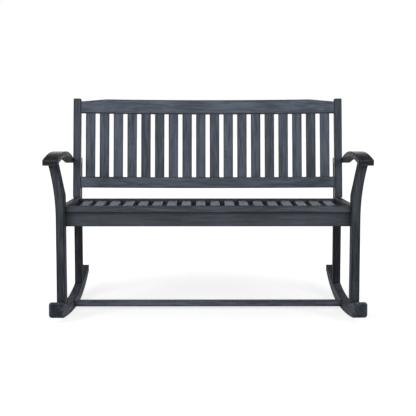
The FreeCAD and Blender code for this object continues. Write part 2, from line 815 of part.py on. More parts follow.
def rear_rail_tenon(side):
    low_x, high_x = reach(side, half_clear, half_clear + d.tenon_length)
    inset = (d.rear_rail_thickness - d.tenon_thickness) / 2
    low_z = rear_rail_bottom_z + d.tenon_shoulder + d.fit_clearance
    return ((low_x, rear_rail_front_y + inset, low_z + d.tenon_shoulder),
            (high_x, rear_rail_back_y - inset, rear_rail_top_z - d.tenon_shoulder))


def support_tenon(side):
    low_x, high_x = reach(side, half_clear, half_clear + d.tenon_length)
    inset = (d.support_thickness - d.tenon_thickness) / 2
    return ((low_x, support_front_y + inset, slat_under_z - d.support_height + d.tenon_shoulder),
            (high_x, support_back_y - inset, slat_under_z - d.tenon_shoulder))


def make_crossbar(label, half_length, section, finish, edges, tenons):
    """Bar along X between the end frames, with a tenon at each end."""
    piece = board(label, SIDE_VIEW, X_AXIS, -half_length, 2 * half_length, section)
    if finish:
        piece = finish(label, piece, *edges)
    blocks = []
    for side_name, (low, high) in tenons:
        blocks.append(block(f"{label}_{side_name}_tenon", low, high))
    return piece, blocks


def both(tenon):
    return [("left", tenon(-1)), ("right", tenon(1))]


def make_seat_frame():
    along = longer_than(X_AXIS, d.clear_width / 2)
    section = rectangle(apron_front_y, apron_back_y, apron_bottom_z, nosing_bottom_z)
    apron, tenons = make_crossbar("front_apron", half_clear, section, eased,
                                  (d.slat_ease, lies_at("Z", apron_bottom_z)), both(apron_tenon))
    jointed("front_apron", apron, tenons, [])
    section = rectangle(rear_rail_front_y, rear_rail_back_y, rear_rail_bottom_z, rear_rail_top_z)
    rear, tenons = make_crossbar("rear_seat_rail", half_clear, section, eased,
                                 (d.slat_ease, lies_at("Z", rear_rail_top_z)), both(rear_rail_tenon))
    housing = tongue_row("rear_seat_rail_housing", rear_rail_front_y - d.slat_tenon_length,
                         rear_rail_front_y + d.slat_tenon_length, rear_tongue_z)
    jointed("rear_seat_rail", rear, tenons, housing)
    section = [
        (support_front_y, slat_under_z - d.support_height),
        (support_back_y, slat_under_z - d.support_height),
        (support_back_y, support_back_top_z),
        (support_front_y, support_front_top_z),
    ]
    support, tenons = make_crossbar("middle_seat_support", half_clear, section, None, None,
                                    both(support_tenon))
    jointed("middle_seat_support", support, tenons, [])
    section = rectangle(nosing_front_y, nosing_back_y, nosing_bottom_z, d.seat_height)
    nosing, tenons = make_crossbar("seat_front_rail", half_clear, section, rounded,
                                   (d.nosing_round, lies_at("Y", nosing_front_y)), both(nosing_tenon))
    housing = tongue_row("seat_front_rail_housing", nosing_back_y - d.slat_tenon_length,
                         nosing_back_y + d.slat_tenon_length, front_tongue_z)
    jointed("seat_front_rail", nosing, tenons, housing)
    section = rectangle(d.stretcher_y - d.stretcher_depth / 2, d.stretcher_y + d.stretcher_depth / 2,
                        d.stretcher_bottom, d.stretcher_bottom + d.stretcher_height)
    stretcher, tenons = make_crossbar("rocker_stretcher", rocker_inner_x, section, eased,
                                      (d.slat_ease, along), [])
    bores = []
    for side_name, side in (("left", -1), ("right", 1)):
        start = (side * (rocker_inner_x - d.bolt_bite), d.stretcher_y, stretcher_z)
        bores.append(rod(f"rocker_stretcher_{side_name}_bore", start, X_AXIS * side,
                         d.bolt_diameter + d.fit_clearance, 2 * d.bolt_bite))
    jointed("rocker_stretcher", stretcher, [], bores)


def tongue_row(name, y_low, y_high, z_low):
    """Row of housings for the slats' tongues, one below another rail's edge for every slat."""
    first_x = -slat_row / 2 - d.slat_width / 2
    first = block(name, (first_x, y_low, z_low), (first_x + d.slat_width, y_high, z_low + d.slat_tongue_thickness),
                  d.fit_clearance)
    row = document.addObject("Part::Compound", f"{name}_row")
    copies = [first]
    for index in range(1, slat_total):
        low_x = first_x + index * slat_pitch
        copies.append(block(f"{name}_{index}", (low_x, y_low, z_low),
                            (low_x + d.slat_width, y_high, z_low + d.slat_tongue_thickness), d.fit_clearance))
    row.Links = copies
    return [row]


# Seat slats: gently down from the rear rail, then sweeping up to meet the front rail.
slat_top_radius = arc_radius(d.seat_curve_length, d.seat_slat_drop)
slat_under_radius = slat_top_radius + d.seat_slat_thickness
rear_tongue_z = slat_under_z + d.seat_slat_rise + (d.seat_slat_thickness - d.slat_tongue_thickness) / 2
front_tongue_z = nosing_bottom_z + (d.nosing_thickness - d.slat_tongue_thickness) / 2


def slat_upper_edge(edge):
    """Long edges along the top of a seat slat, where it is straight and where it sweeps up."""
    middle = edge.valueAt((edge.FirstParameter + edge.LastParameter) / 2)
    long_enough = longer_than(Y_AXIS, d.seat_curve_length / 2)(edge)
    return long_enough and middle.z > number(slat_low_z) - NEARLY_ONE


def make_seat_slat(index):
    body = new_body(f"seat_slat_{index + 1:02d}")
    profile = [
        (nosing_back_y, slat_under_z + arc_drop(slat_under_radius, d.seat_curve_length)),
        (slat_bend_y, slat_under_z),
        (rear_rail_front_y, slat_under_z + d.seat_slat_rise),
        (rear_rail_front_y, slat_low_z + d.seat_slat_rise),
        (slat_bend_y, slat_low_z),
        (nosing_back_y, slat_low_z + arc_drop(slat_top_radius, d.seat_curve_length)),
    ]
    arcs = {0: (slat_under_radius, -1), 4: (slat_top_radius, 1)}
    sketch = outline(body_sketch(body, "YZ_Plane", "profile", -d.slat_width / 2), profile, arcs)
    pad(body, sketch, d.slat_width)
    dress(body, "PartDesign::Chamfer", "ease", "Size", d.slat_ease, slat_upper_edge)
    tip_y = d.slat_tenon_length - d.fit_clearance
    tongues = (
        ("front_tongue", nosing_back_y - tip_y, nosing_back_y + d.slat_tongue_thickness, front_tongue_z),
        ("rear_tongue", rear_rail_front_y - tip_y, rear_rail_front_y + tip_y, rear_tongue_z),
    )
    for name, y_low, y_high, z_low in tongues:
        section = rectangle(y_low, y_high, z_low, z_low + d.slat_tongue_thickness)
        sketch = outline(body_sketch(body, "YZ_Plane", name, -d.slat_width / 2), section)
        pad(body, sketch, d.slat_width, f"{name}_pad")
    body.Placement = FreeCAD.Placement()
    bind(body, "Placement.Base.x", index * slat_pitch - slat_row / 2)
    return body


# Backrest: rails bowed backwards on one arc, slats fanned on the same arc, square posts.
bow_radius = arc_radius(half_clear, d.back_bow)
bow_centre_y = d.back_rail_recess + d.back_bow - bow_radius
slat_front_radius = bow_radius + d.back_slat_recess
degrees_in_arc = 180 / math.pi
fan_angle = slat_row / slat_front_radius * degrees_in_arc


def rail_end_y(radius):
    return bow_centre_y + root(radius * radius - half_clear * half_clear)


def make_back_rail(label, start, height, mortise_start, shape_top=None):
    """Bowed rail with eased edges, a tenon at each end and a mortise for every slat."""
    body = new_body(label)
    back_radius = bow_radius + d.back_rail_thickness
    plan = [
        (-half_clear, rail_end_y(bow_radius)),
        (half_clear, rail_end_y(bow_radius)),
        (half_clear, rail_end_y(back_radius)),
        (-half_clear, rail_end_y(back_radius)),
    ]
    arcs = {0: (bow_radius, 1), 2: (back_radius, -1)}
    sketch = outline(body_sketch(body, "XY_Plane", "plan", start), plan, arcs)
    pad(body, sketch, height)
    if shape_top:
        shape_top(body)
    dress(body, "PartDesign::Chamfer", "ease", "Size", d.rail_ease, rail_edge)
    for name, side in (("right_tenon", 1), ("left_tenon", -1)):
        sketch = body_sketch(body, "YZ_Plane", f"{name}_section", side * half_clear)
        outline(sketch, back_tenon_section(start, nothing))
        pad(body, sketch, d.tenon_length, name, reverse=side < 0)
    slot = body_sketch(body, "XY_Plane", "slat_slot", mortise_start, fan_angle / 2, bow_centre_y)
    outline(slot, slat_section(d.fit_clearance))
    cut = pocket(body, slot, d.slat_tenon_length, "slat_mortise", reverse=True)
    row = pattern(body, cut, "PartDesign::PolarPattern", (slot, ["N_Axis"]), "Angle", fan_angle)
    row.Reversed = True
    stand_leaning(body)
    return body


def slat_section(spare):
    half_width = d.back_slat_width / 2 + spare
    return rectangle(-half_width, half_width, slat_front_radius - spare,
                     slat_front_radius + d.back_slat_thickness + spare)


def back_tenon_section(start, spare):
    """Section of a back rail's tenon, on the YZ plane of the backrest."""
    low_y = rail_end_y(bow_radius) + (d.back_rail_thickness - d.tenon_thickness) / 2
    low_z = start + d.tenon_shoulder
    return rectangle(low_y - spare, low_y + d.tenon_thickness + spare,
                     low_z - spare, low_z + d.lower_rail_height - 2 * d.tenon_shoulder + spare)


def rail_edge(edge):
    """Long edges along the front and the back of a bowed rail."""
    return abs(edge_span(edge).x) > number(d.clear_width) / 2


def crown_top_rail(body):
    """The top rail's upper edge rises from each post and runs level between the two peaks."""
    peak_x = half_clear - d.top_rail_slope_run
    end_z = d.top_rail_start + d.top_rail_end_height
    peak_z = d.top_rail_start + d.top_rail_peak_height
    behind = 2 * (d.back_bow + d.stile_depth)
    for name, side in (("left_slope", -1), ("right_slope", 1)):
        waste = [(side * peak_x, peak_z), (side * half_clear, end_z), (side * half_clear, peak_z)]
        sketch = outline(body_sketch(body, "XZ_Plane", name, -behind), waste)
        pocket(body, sketch, 2 * behind, f"{name}_cut", reverse=True)


def make_back_slat(index):
    body = new_body(f"back_slat_{index + 1:02d}")
    start = d.lower_rail_start + d.lower_rail_height - d.slat_tenon_length + d.fit_clearance
    stop = d.top_rail_start + d.slat_tenon_length - d.fit_clearance
    turn = fan_angle / 2 - fan_angle * (index / (slat_total - 1))
    sketch = body_sketch(body, "XY_Plane", "section", start, turn, bow_centre_y)
    outline(sketch, slat_section(nothing))
    pad(body, sketch, stop - start)
    dress(body, "PartDesign::Chamfer", "ease", "Size", d.slat_ease,
          longer_than(Z_AXIS, d.lower_rail_height))
    stand_leaning(body)
    return body


def make_stile(side_name, side):
    """Back post: stands on the side rail against the rear leg, mortised for both rails."""
    body = new_body(f"{side_name}_back_post")
    low_x, high_x = reach(side, half_clear, leg_outer_x)
    foot = d.stile_depth * tangent(d.back_lean_angle)
    profile = [(nothing, nothing), (d.stile_depth, foot), (d.stile_depth, d.back_height),
               (nothing, d.back_height)]
    sketch = outline(body_sketch(body, "YZ_Plane", "profile", low_x), profile)
    pad(body, sketch, d.post_width)
    for name, start in (("lower_mortise", d.lower_rail_start), ("top_mortise", d.top_rail_start)):
        sketch = body_sketch(body, "YZ_Plane", f"{name}_section", side * half_clear)
        outline(sketch, back_tenon_section(start, d.fit_clearance))
        pocket(body, sketch, d.tenon_length, name, reverse=side > 0)
    sketch = body_sketch(body, "XZ_Plane", "bolt_bore", -d.stile_depth)
    bolt_x = side * (half_clear + d.post_width / 2)
    circles(sketch, [(bolt_x, d.post_bolt_low), (bolt_x, d.post_bolt_high)], d.bolt_diameter + d.fit_clearance)
    pocket(body, sketch, d.bolt_bite, "bolt_bores", reverse=True)
    dress(body, "PartDesign::Chamfer", "chamfer", "Size", d.stile_chamfer, lies_at("Z", d.back_height))
    dress(body, "PartDesign::Chamfer", "ease", "Size", d.slat_ease,
          longer_than(Z_AXIS, d.back_height / 2))
    stand_leaning(body)
    return body


# Fasteners: each group holds its separate bolts.
def fused_bolt(name, shank, head):
    whole = document.addObject("Part::MultiFuse", name)
    whole.Shapes = [shank, head]
    return whole


def grouped(label, solids):
    group = document.addObject("Part::Compound", label)
    group.Label = label
    group.Links = solids
    sub_parts.append(group)
    return group


def make_fasteners():
    stretcher_bolts = []
    post_bolts = []
    for side_name, side in (("left", -1), ("right", 1)):
        name = f"{side_name}_stretcher_bolt"
        end_x = rocker_inner_x - d.bolt_bite + d.fit_clearance
        shank = rod(f"{name}_shank", (side * end_x, d.stretcher_y, stretcher_z), X_AXIS * side,
                    d.bolt_diameter, leg_outer_x - end_x)
        head = rod(f"{name}_head", (side * leg_outer_x, d.stretcher_y, stretcher_z), X_AXIS * side,
                   d.bolt_head_diameter, d.bolt_head_height)
        stretcher_bolts.append(fused_bolt(name, shank, head))
        for place, level in (("low", d.post_bolt_low), ("high", d.post_bolt_high)):
            name = f"{side_name}_post_bolt_{place}"
            shank = post_bolt_rod(f"{name}_shank", side, level, nothing)
            bolt_x = side * (half_clear + d.post_width / 2)
            head = rod(f"{name}_head", (bolt_x, d.stile_depth + d.rear_leg_depth, level), Y_AXIS,
                       d.bolt_head_diameter, d.bolt_head_height)
            post_bolts.append(fused_bolt(name, shank, head))
    grouped("stretcher_bolts", stretcher_bolts)
    stand_leaning(grouped("post_bolts", post_bolts))


for side_name, side in (("left", -1), ("right", 1)):
    make_rocker(side_name, side)
    make_front_leg(side_name, side)
    make_rear_leg(side_name, side)
    make_arm(side_name, side)
    make_side_rail(side_name, side)
    make_stile(side_name, side)
make_seat_frame()
make_back_rail("back_lower_rail", d.lower_rail_start, d.lower_rail_height,
               d.lower_rail_start + d.lower_rail_height - d.slat_tenon_length)
make_back_rail("back_top_rail", d.top_rail_start, d.top_rail_peak_height, d.top_rail_start, crown_top_rail)
for slat_index in range(slat_total):
    make_seat_slat(slat_index)
    make_back_slat(slat_index)
make_fasteners()
document.recompute()


# Check every object, then write one STEP file for each sub-part.
for thing in document.Objects:
    if "Invalid" in thing.State or "Error" in thing.State:
        raise ValueError(f"{thing.Name} is not computed: {thing.State}")
for thing in sub_parts:
    if thing.Shape.isNull() or not thing.Shape.isValid():
        raise ValueError(f"{thing.Label} has no valid shape")
os.makedirs("parts", exist_ok=True)
for thing in sub_parts:
    thing.Shape.exportStep(f"parts/{thing.Label}.step")
total_volume = sum(thing.Shape.Volume for thing in sub_parts)
balance_y = sum(thing.Shape.Volume * thing.Shape.CenterOfGravity.y for thing in sub_parts) / total_volume
print(f"{len(sub_parts)} sub-parts, balance point at y = {balance_y:.1f} mm")
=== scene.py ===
# %% [markdown]
# # A rocking bench in dark stained hardwood
#
# The bench stands on two curved rockers. Its solids come ready made from the packed model, each one in
# its right place and size, so this lesson is about what a solid doesn't have: the stain, the grain under
# it, the satin sheen on top, and the light that shows them.
#
# The packed model is loaded first.

# %% Load the bench
import bpy
import math
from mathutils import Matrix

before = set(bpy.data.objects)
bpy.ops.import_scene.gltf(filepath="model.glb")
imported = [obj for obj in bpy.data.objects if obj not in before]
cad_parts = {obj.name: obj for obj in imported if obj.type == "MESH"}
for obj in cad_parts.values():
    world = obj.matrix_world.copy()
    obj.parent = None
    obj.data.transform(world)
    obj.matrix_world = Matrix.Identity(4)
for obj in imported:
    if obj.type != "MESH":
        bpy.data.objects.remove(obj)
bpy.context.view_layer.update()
print("pieces:", len(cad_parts))

# %% [markdown]
# ## A short way to write shader maths
#
# A material is a tree of small nodes, and wood needs many of them. Math nodes could be placed and linked
# one by one, but the sum that they stand for would be lost among the links. So a `Wire` wraps one output
# and lets Python's own operators add the nodes: `1 - mask` then works as it reads.


# %% Wires
class Wire:
    """One output of a node, with arithmetic that adds Math nodes."""

    def __init__(self, finish, socket):
        self.finish = finish
        self.socket = socket

    def math(self, operation, *terms):
        return self.finish.put("ShaderNodeMath", {"operation": operation}, dict(enumerate(terms)))

    def __add__(self, other):
        return self.math("ADD", self, other)

    def __radd__(self, other):
        return self.math("ADD", other, self)

    def __sub__(self, other):
        return self.math("SUBTRACT", self, other)

    def __rsub__(self, other):
        return self.math("SUBTRACT", other, self)

    def __mul__(self, other):
        return self.math("MULTIPLY", self, other)

    def __rmul__(self, other):
        return self.math("MULTIPLY", other, self)

    def __abs__(self):
        return self.math("ABSOLUTE", self)

    def floor(self):
        return self.math("FLOOR", self)

    def at_most(self, limit):
        return self.math("MINIMUM", self, limit)

    def smooth(self, low, high):
        """0 below low, 1 above high, and a soft step between them."""
        sockets = {"Value": self, "From Min": low, "From Max": high, "To Min": 0.0, "To Max": 1.0}
        return self.finish.put("ShaderNodeMapRange", {"interpolation_type": "SMOOTHSTEP"}, sockets)


print("wires are ready for +, -, * and abs")

# %% [markdown]
# ## One tree of nodes for each finish
#
# A `Finish` is the tree of one material, or of the sky. In plain Blender code a node takes three steps:
# it's made, then set, then linked. The `put` method takes them in one: the node's type first, then its
# settings, then what goes into its sockets, be it a number, a colour or a `Wire`. So a finish can be
# read from top to bottom, in the order in which its nodes feed each other.

# %% Finishes
# A Mix node has sockets of its own for each kind of data. These are the ones for colours.
MIX_FACTOR, MIX_FIRST, MIX_SECOND, MIX_RESULT = 0, 6, 7, 2


def set_stops(ramp, stops):
    """Give a colour ramp exactly these stops."""
    while len(ramp.elements) < len(stops):
        ramp.elements.new(1.0)
    for element, (place, colour) in zip(ramp.elements, stops):
        element.position = place
        element.color = colour


class Finish:
    """The nodes that make one material, or the sky."""

    def __init__(self, owner):
        self.owner = owner
        self.owner.use_nodes = True
        self.tree = owner.node_tree
        self.tree.nodes.clear()

    def put(self, kind, settings, sockets, output=0):
        """Add a node of this type, and hand out one of its outputs."""
        node = self.tree.nodes.new(kind)
        for name, value in settings.items():
            if name == "stops":
                set_stops(node.color_ramp, value)
            else:
                setattr(node, name, value)
        for name, value in sockets.items():
            if isinstance(value, Wire):
                self.tree.links.new(value.socket, node.inputs[name])
            else:
                node.inputs[name].default_value = value
        return Wire(self, node.outputs[output]) if len(node.outputs) else None

    def mix(self, factor, first, second):
        """Blend two colours."""
        sockets = {MIX_FACTOR: factor, MIX_FIRST: first, MIX_SECOND: second}
        return self.put("ShaderNodeMix", {"data_type": "RGBA"}, sockets, MIX_RESULT)

    def vector(self, operation, *terms, output=0):
        return self.put("ShaderNodeVectorMath", {"operation": operation}, dict(enumerate(terms)), output)

    def cosine(self, first, second):
        """The cosine of the angle between two directions."""
        return self.vector("DOT_PRODUCT", first, second, output="Value")

    def along(self, axis, vector):
        """One coordinate of a vector."""
        return self.put("ShaderNodeSeparateXYZ", {}, {"Vector": vector}, axis)

    def blend(self, factor, first, second):
        """Blend two shaders."""
        return self.put("ShaderNodeMixShader", {}, dict(enumerate((factor, first, second))))

    def surface(self, shader, end="ShaderNodeOutputMaterial"):
        """Lead a shader to the tree's end, which finishes the material or the sky."""
        self.put(end, {}, {"Surface": shader})
        return self.owner


print("a finish can:", ", ".join(name for name in vars(Finish) if not name.startswith("_")))

# %% [markdown]
# ## Grain that runs the right way
#
# A board's grain runs along its length, so a rail's streaks lie along X, a leg's along Z, and a seat
# slat's along Y. A picture of wood would have to be wrapped round each board by hand. Here all pieces
# share the bench's own coordinates in metres instead. They are squeezed along the grain, which draws an
# ordinary noise out into long fibres. The backrest leans, so its coordinates are turned by the same
# angle first.
#
# No two boards of a real bench look alike. So each slat gets a number of its own, found from where it
# lies, which moves it to another place in the pattern and makes it a little paler or darker.

# %% Places along and across the grain
LEAN = math.radians(8.3)
SLATS = 18
SLAT_WIDTH = 0.040
WIDTH_BETWEEN_POSTS = 1.135
SLAT_PITCH = (WIDTH_BETWEEN_POSTS - SLATS * SLAT_WIDTH) / (SLATS + 1) + SLAT_WIDTH
SLAT_LUCK_SEED = 3.7
LUCK_SHIFT = (1.7, 3.1, 2.3)
SQUEEZE = 0.06
GRAIN_SCALE = {"X": (SQUEEZE, 1.0, 1.0), "Y": (1.0, SQUEEZE, 1.0), "Z": (1.0, 1.0, SQUEEZE)}
GRAIN_WAY = {"X": (1.0, 0.0, 0.0), "Y": (0.0, 1.0, 0.0), "Z": (0.0, 0.0, 1.0)}


def upright(finish, vector, lean):
    """Turn a place or a direction on a leaning piece as if the piece stood upright."""
    return finish.put("ShaderNodeMapping", {}, {"Vector": vector, "Rotation": (lean, 0.0, 0.0)})


def place_on_bench(finish, lean=0.0):
    """Coordinates in metres, turned upright for a piece that leans."""
    return upright(finish, finish.put("ShaderNodeTexCoord", {}, {}, "Object"), lean)


def slat_luck(finish, place):
    """A random number that is the same all over one slat."""
    number = (finish.along("X", place) * (1 / SLAT_PITCH) + SLATS / 2).floor()
    sockets = {"W": number + SLAT_LUCK_SEED}
    return finish.put("ShaderNodeTexWhiteNoise", {"noise_dimensions": "1D"}, sockets, "Value")


def moved_by_luck(finish, place, luck):
    shift = {axis: luck * reach for axis, reach in enumerate(LUCK_SHIFT)}
    return finish.vector("ADD", place, finish.put("ShaderNodeCombineXYZ", {}, shift))


print("slats are", round(SLAT_PITCH * 1000, 2), "mm apart, and grain runs along", ", ".join(GRAIN_WAY))

# %% [markdown]
# ## The pattern of the wood
#
# Noises of different fineness make the grain: broad growth rings, bands a few millimetres wide, fine
# fibres, and open pores. All of these are drawn out along the board. The clouds, where a brush left a
# little more or less stain, are not. A picture of real boards would repeat after a while, but a noise
# never does, and it needs no unwrapping.

# %% Rings, bands, fibres, pores and clouds
PORE_STEP = (0.60, 0.74)


def noise(finish, place, scale, detail, roughness=0.55, distortion=0.0):
    sockets = {"Vector": place, "Scale": scale, "Detail": detail, "Roughness": roughness,
               "Distortion": distortion}
    return finish.put("ShaderNodeTexNoise", {"noise_dimensions": "3D"}, sockets)


def wood_pattern(finish, place, grain):
    drawn = finish.put("ShaderNodeMapping", {}, {"Vector": place, "Scale": GRAIN_SCALE[grain]})
    return {
        "rings": noise(finish, drawn, scale=34.0, detail=3.0, distortion=0.6),
        "bands": noise(finish, drawn, scale=95.0, detail=3.0, roughness=0.6, distortion=0.3),
        "fibres": noise(finish, drawn, scale=210.0, detail=5.0, roughness=0.6),
        "pores": noise(finish, drawn, scale=620.0, detail=2.0).smooth(*PORE_STEP),
        "clouds": noise(finish, place, scale=5.0, detail=2.0),
    }


print("the grain is drawn out", round(1 / SQUEEZE, 1), "times")

# %% [markdown]
# ## Edges, corners and ends
#
# Three sorts of place are darkened, and each one gets a mask from 0 to 1. An eased edge gets a thin dark
# line: a Bevel node finds it, because its softened normal parts from the true one there. The corner
# between two boards gets painted shade: an Ambient Occlusion node of short reach finds it, by what else
# lies close by. End grain drinks the most stain: it's where the face looks along the board.
#
# Undersides get one more mask, because nobody sands or polishes them, so their coat stays dull. The
# front rims of the arms get the last one, which paints a highlight on them. All of these could be
# painted by hand on each board, but found from the shape they stay right when the shape changes.

# %% Masks for stain, edges, undersides, painted shade and a painted highlight
MASK_SAMPLES = 6
FORWARDS_AND_UP = (0.0, -0.707, 0.707)

# From where to where each mask fades: cosines of the angle between two directions, the share of open
# air round a corner, and for undersides the height of the normal.
EDGE_STEP = (0.90, 0.998)
CORNER_STEP = (0.35, 0.92)
END_STEP = (0.82, 0.93)
UNDERSIDE_STEP = (-0.45, -0.05)
FORWARDS_UP_STEP = (0.55, 0.85)


def own_normal(finish):
    return finish.put("ShaderNodeTexCoord", {}, {}, "Normal")


def near_edge(finish, width, step=EDGE_STEP):
    true_normal = finish.put("ShaderNodeNewGeometry", {}, {}, "Normal")
    soft_normal = finish.put("ShaderNodeBevel", {"samples": MASK_SAMPLES}, {"Radius": width})
    return 1 - finish.cosine(true_normal, soft_normal).smooth(*step)


# Painted shade: the colour is darkened in corners, where parts close by shut the light out.
def corner_shade(finish, reach):
    settings = {"samples": MASK_SAMPLES}
    open_air = finish.put("ShaderNodeAmbientOcclusion", settings, {"Distance": reach}, "AO")
    return 1 - open_air.smooth(*CORNER_STEP)


def on_end_grain(finish, grain, lean):
    facing = upright(finish, own_normal(finish), lean)
    return abs(finish.cosine(facing, GRAIN_WAY[grain])).smooth(*END_STEP)


def on_underside(finish):
    return 1 - finish.along("Z", own_normal(finish)).smooth(*UNDERSIDE_STEP)


# Painted highlight: this mask picks the front rims of the arms, which are made paler.
def faces_forwards_up(finish):
    """1 where a face looks forwards and up, as the front rim of an arm does."""
    return finish.cosine(own_normal(finish), FORWARDS_AND_UP).smooth(*FORWARDS_UP_STEP)


print("masks for edges, corners, ends, undersides and handled rims are ready")

# %% [markdown]
# ## The charcoal stain
#
# The real finish is a thin dark grey stain with a touch of blue under a satin coat. It soaks deep into
# the soft spring wood and stays lighter on the hard fibres, so the colour follows the grain, between the
# first two colours below. The third one is the dark of what gathers, used also for the dark lines along
# the edges and for painted shade in the corners. The last is the paler wood that shows where an edge is
# rubbed, used also for a painted highlight on the front rims of the arms. One colour for the whole bench
# would look like paint, and hide that it's wood.


# %% Colours of the stain
def rgb(red, green, blue):
    return (red, green, blue, 1.0)


LIGHT_FIBRE = rgb(0.088, 0.104, 0.137)
DEEP_FIBRE = rgb(0.028, 0.034, 0.047)
DARK_STAIN_AND_SHADE = rgb(0.010, 0.012, 0.016)
WORN_WOOD_AND_HIGHLIGHT = rgb(0.125, 0.135, 0.150)


def on_board(colour, board):
    """A colour of the stain in this board's own tone and tint."""
    return rgb(*(channel * share * board["tone"] for channel, share in zip(colour, board["tint"])))


print("light fibre:", LIGHT_FIBRE[:3], "deep fibre:", DEEP_FIBRE[:3])

# %% [markdown]
# ## The colour, layer by layer
#
# The colour is laid on layer by layer. First comes the stain itself, deep or pale by the grain. Then
# comes what gathered in the pores, painted shade in the corners and a dark line along the edges, then
# what wear took off again, with a painted highlight on the front rims of the arms, and last the end
# grain, which is dark whatever lies round it. Each layer is one Mix of two colours under a mask, so it
# can be made weaker or stronger without touching the others.
#
# A corner gets two layers of painted shade, a wide faint one and a narrow dark one, because a single
# reach gives either a hard line or a smudge.

# %% Layers of colour
MIDDLE = 0.5
RING_SHARE, BAND_SHARE, FIBRE_SHARE, CLOUD_SHARE = 1.2, 1.9, 1.9, 0.6
SLAT_SHARE = 0.5
PALE_STEP = (0.05, 0.95)
PORE_SOAK = 0.45
WIDE_CORNER, WIDE_CORNER_SHADE = 0.022, 0.60
TIGHT_CORNER, TIGHT_CORNER_SHADE = 0.008, 0.95
RUBBED_STEP = (0.60, 0.72)
RUBBED_SHARE = 0.20


def swing(pattern):
    """How far a noise, or a slat's luck, lies from its middle value."""
    return pattern - MIDDLE


def paleness(marks, luck, board):
    """0 where the stain soaked in deep, 1 on the hard pale fibres."""
    drawing = (RING_SHARE * swing(marks["rings"]) + BAND_SHARE * swing(marks["bands"])
               + FIBRE_SHARE * swing(marks["fibres"]))
    pale = MIDDLE + board["figure"] * drawing + CLOUD_SHARE * swing(marks["clouds"])
    if board["slatted"]:
        pale = pale + SLAT_SHARE * swing(luck)
    return pale.smooth(*PALE_STEP)


def stain_shade_and_highlight(finish, place, marks, luck, board):
    dark = on_board(DARK_STAIN_AND_SHADE, board)
    deep, light = on_board(DEEP_FIBRE, board), on_board(LIGHT_FIBRE, board)
    stain = finish.mix(paleness(marks, luck, board), deep, light)
    stain = finish.mix(PORE_SOAK * marks["pores"], stain, dark)
    # Painted shade in the corners, a wide faint layer and a narrow dark one.
    stain = finish.mix(WIDE_CORNER_SHADE * corner_shade(finish, WIDE_CORNER), stain, dark)
    stain = finish.mix(TIGHT_CORNER_SHADE * corner_shade(finish, TIGHT_CORNER), stain, dark)
    # A thin dark line along the eased edges.
    stain = finish.mix(board["edge_darkening"] * marks["edge"], stain, dark)
    rubbed = noise(finish, place, scale=38.0, detail=4.0).smooth(*RUBBED_STEP)
    stain = finish.mix(RUBBED_SHARE * marks["edge"] * rubbed, stain, WORN_WOOD_AND_HIGHLIGHT)
    # Painted highlight: the front rims of the arms are made paler.
    if board["highlighted"]:
        stain = finish.mix(board["highlighted"] * marks["edge"] * faces_forwards_up(finish), stain, WORN_WOOD_AND_HIGHLIGHT)
    return finish.mix(board["end_soak"] * marks["end_grain"], stain, dark)


print("corners are darkened up to", WIDE_CORNER * 1000, "mm out, and most within", TIGHT_CORNER * 1000)

# %% [markdown]
# ## Relief and sheen
#
# Light that grazes the seat shows the fibres, the rings and the open pores. Relief cut into the mesh
# would need millions of faces for about half a millimetre, so their height feeds a weak bump instead.
# The coat is dull where it sank in: a little on the fibres and along the edges, more on the end grain,
# and most on the undersides, which nobody polished.

# %% Relief and sheen
FIBRE_HEIGHT, PORE_HEIGHT, RING_HEIGHT = 0.6, 0.5, 0.25
RELIEF_DEPTH = 0.0006
FIBRE_DULLNESS, CLOUD_DULLNESS = 0.16, 0.10
EDGE_DULLNESS, END_DULLNESS, UNDERSIDE_DULLNESS = 0.08, 0.35, 0.5


def bump(finish, height, strength, depth):
    return finish.put("ShaderNodeBump", {}, {"Strength": strength, "Distance": depth, "Height": height})


def wood_height(marks):
    """How far the wood stands up: most on the fibres, least in the pores."""
    return (FIBRE_HEIGHT * marks["fibres"] + PORE_HEIGHT * (1 - marks["pores"])
            + RING_HEIGHT * marks["rings"])


def dullness(finish, marks, board):
    """How rough the coat is, from 0 for a mirror to 1 for chalk."""
    coat = board["dullness"] + FIBRE_DULLNESS * swing(marks["fibres"])
    coat = coat + CLOUD_DULLNESS * swing(marks["clouds"])
    coat = coat + EDGE_DULLNESS * marks["edge"] + END_DULLNESS * marks["end_grain"]
    return coat + UNDERSIDE_DULLNESS * on_underside(finish)


print("depth of the relief:", round(RELIEF_DEPTH * 1000, 2), "mm")

# %% [markdown]
# ## A stained board
#
# Now the parts come together: where the board's wood lies in the pattern, what marks it has, and the
# three maps that they make, for colour, sheen and relief. A board that's said nothing about gets the
# plain values below, so the list of boards that follows only names what is special about each.

# %% Stained wood
COAT_IOR = 1.45
PLAIN_BOARD = {
    "tone": 1.0,              # how light the whole board is
    "tint": (1.0, 1.0, 1.0),  # the share of red, green and blue
    "lean": 0.0,              # the angle by which it leans back
    "slatted": False,         # whether each slat has its own luck
    "luck": 0.5,              # otherwise, its place in the pattern
    "figure": 1.0,            # how strongly the grain shows
    "edge_width": 0.005,      # how far in from an edge the colour darkens
    "edge_darkening": 0.85,        # how dark it gets there
    "end_soak": 0.80,         # how dark the end grain is
    "highlighted": 0.0,           # how strongly a highlight is painted on the front rim
    "dullness": 0.43,         # how rough the coat is
    "shine": 0.5,             # how much light it mirrors
    "relief": 0.22,           # how strongly the bump shows
}


